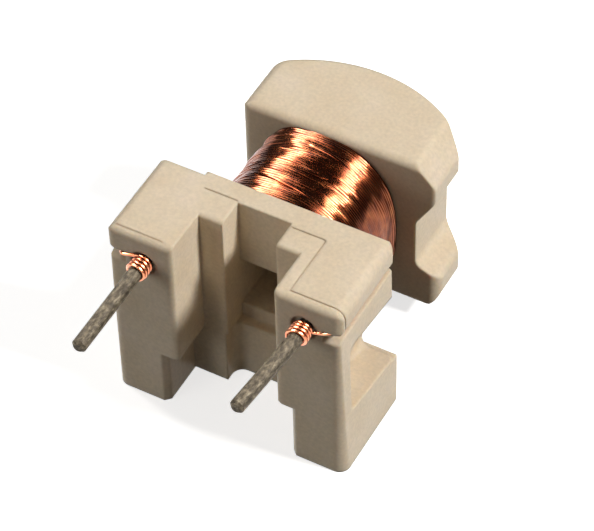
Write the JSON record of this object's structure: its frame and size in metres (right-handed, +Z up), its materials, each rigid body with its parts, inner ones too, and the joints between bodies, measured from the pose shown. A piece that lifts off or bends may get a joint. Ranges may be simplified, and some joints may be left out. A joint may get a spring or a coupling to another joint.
{
  "type": "bobbin coil",
  "caption": "Flanged moulded bobbin with a coil of enamelled copper wire and straight tinned contact pins.",
  "frame": {"origin": "on the ground under the middle of the whole part's box", "axes": "+Y along the coil's axis from the head flange with the pins to the tail flange, +Z up from the feet, +X to the side with the notch"},
  "size_m": [0.011, 0.0186, 0.0099],
  "materials": {
    "former_plastic": "satin moulded thermoplastic, cream",
    "enamelled_copper": null,
    "tinned_metal": "dull tinned wire"
  },
  "bodies": {
    "root": {"bobbin": "former_plastic", "winding": "enamelled_copper", "pin_left": "tinned_metal", "pin_right": "tinned_metal", "start_lead": "enamelled_copper", "finish_lead": "enamelled_copper"}
  },
  "joints": []
}
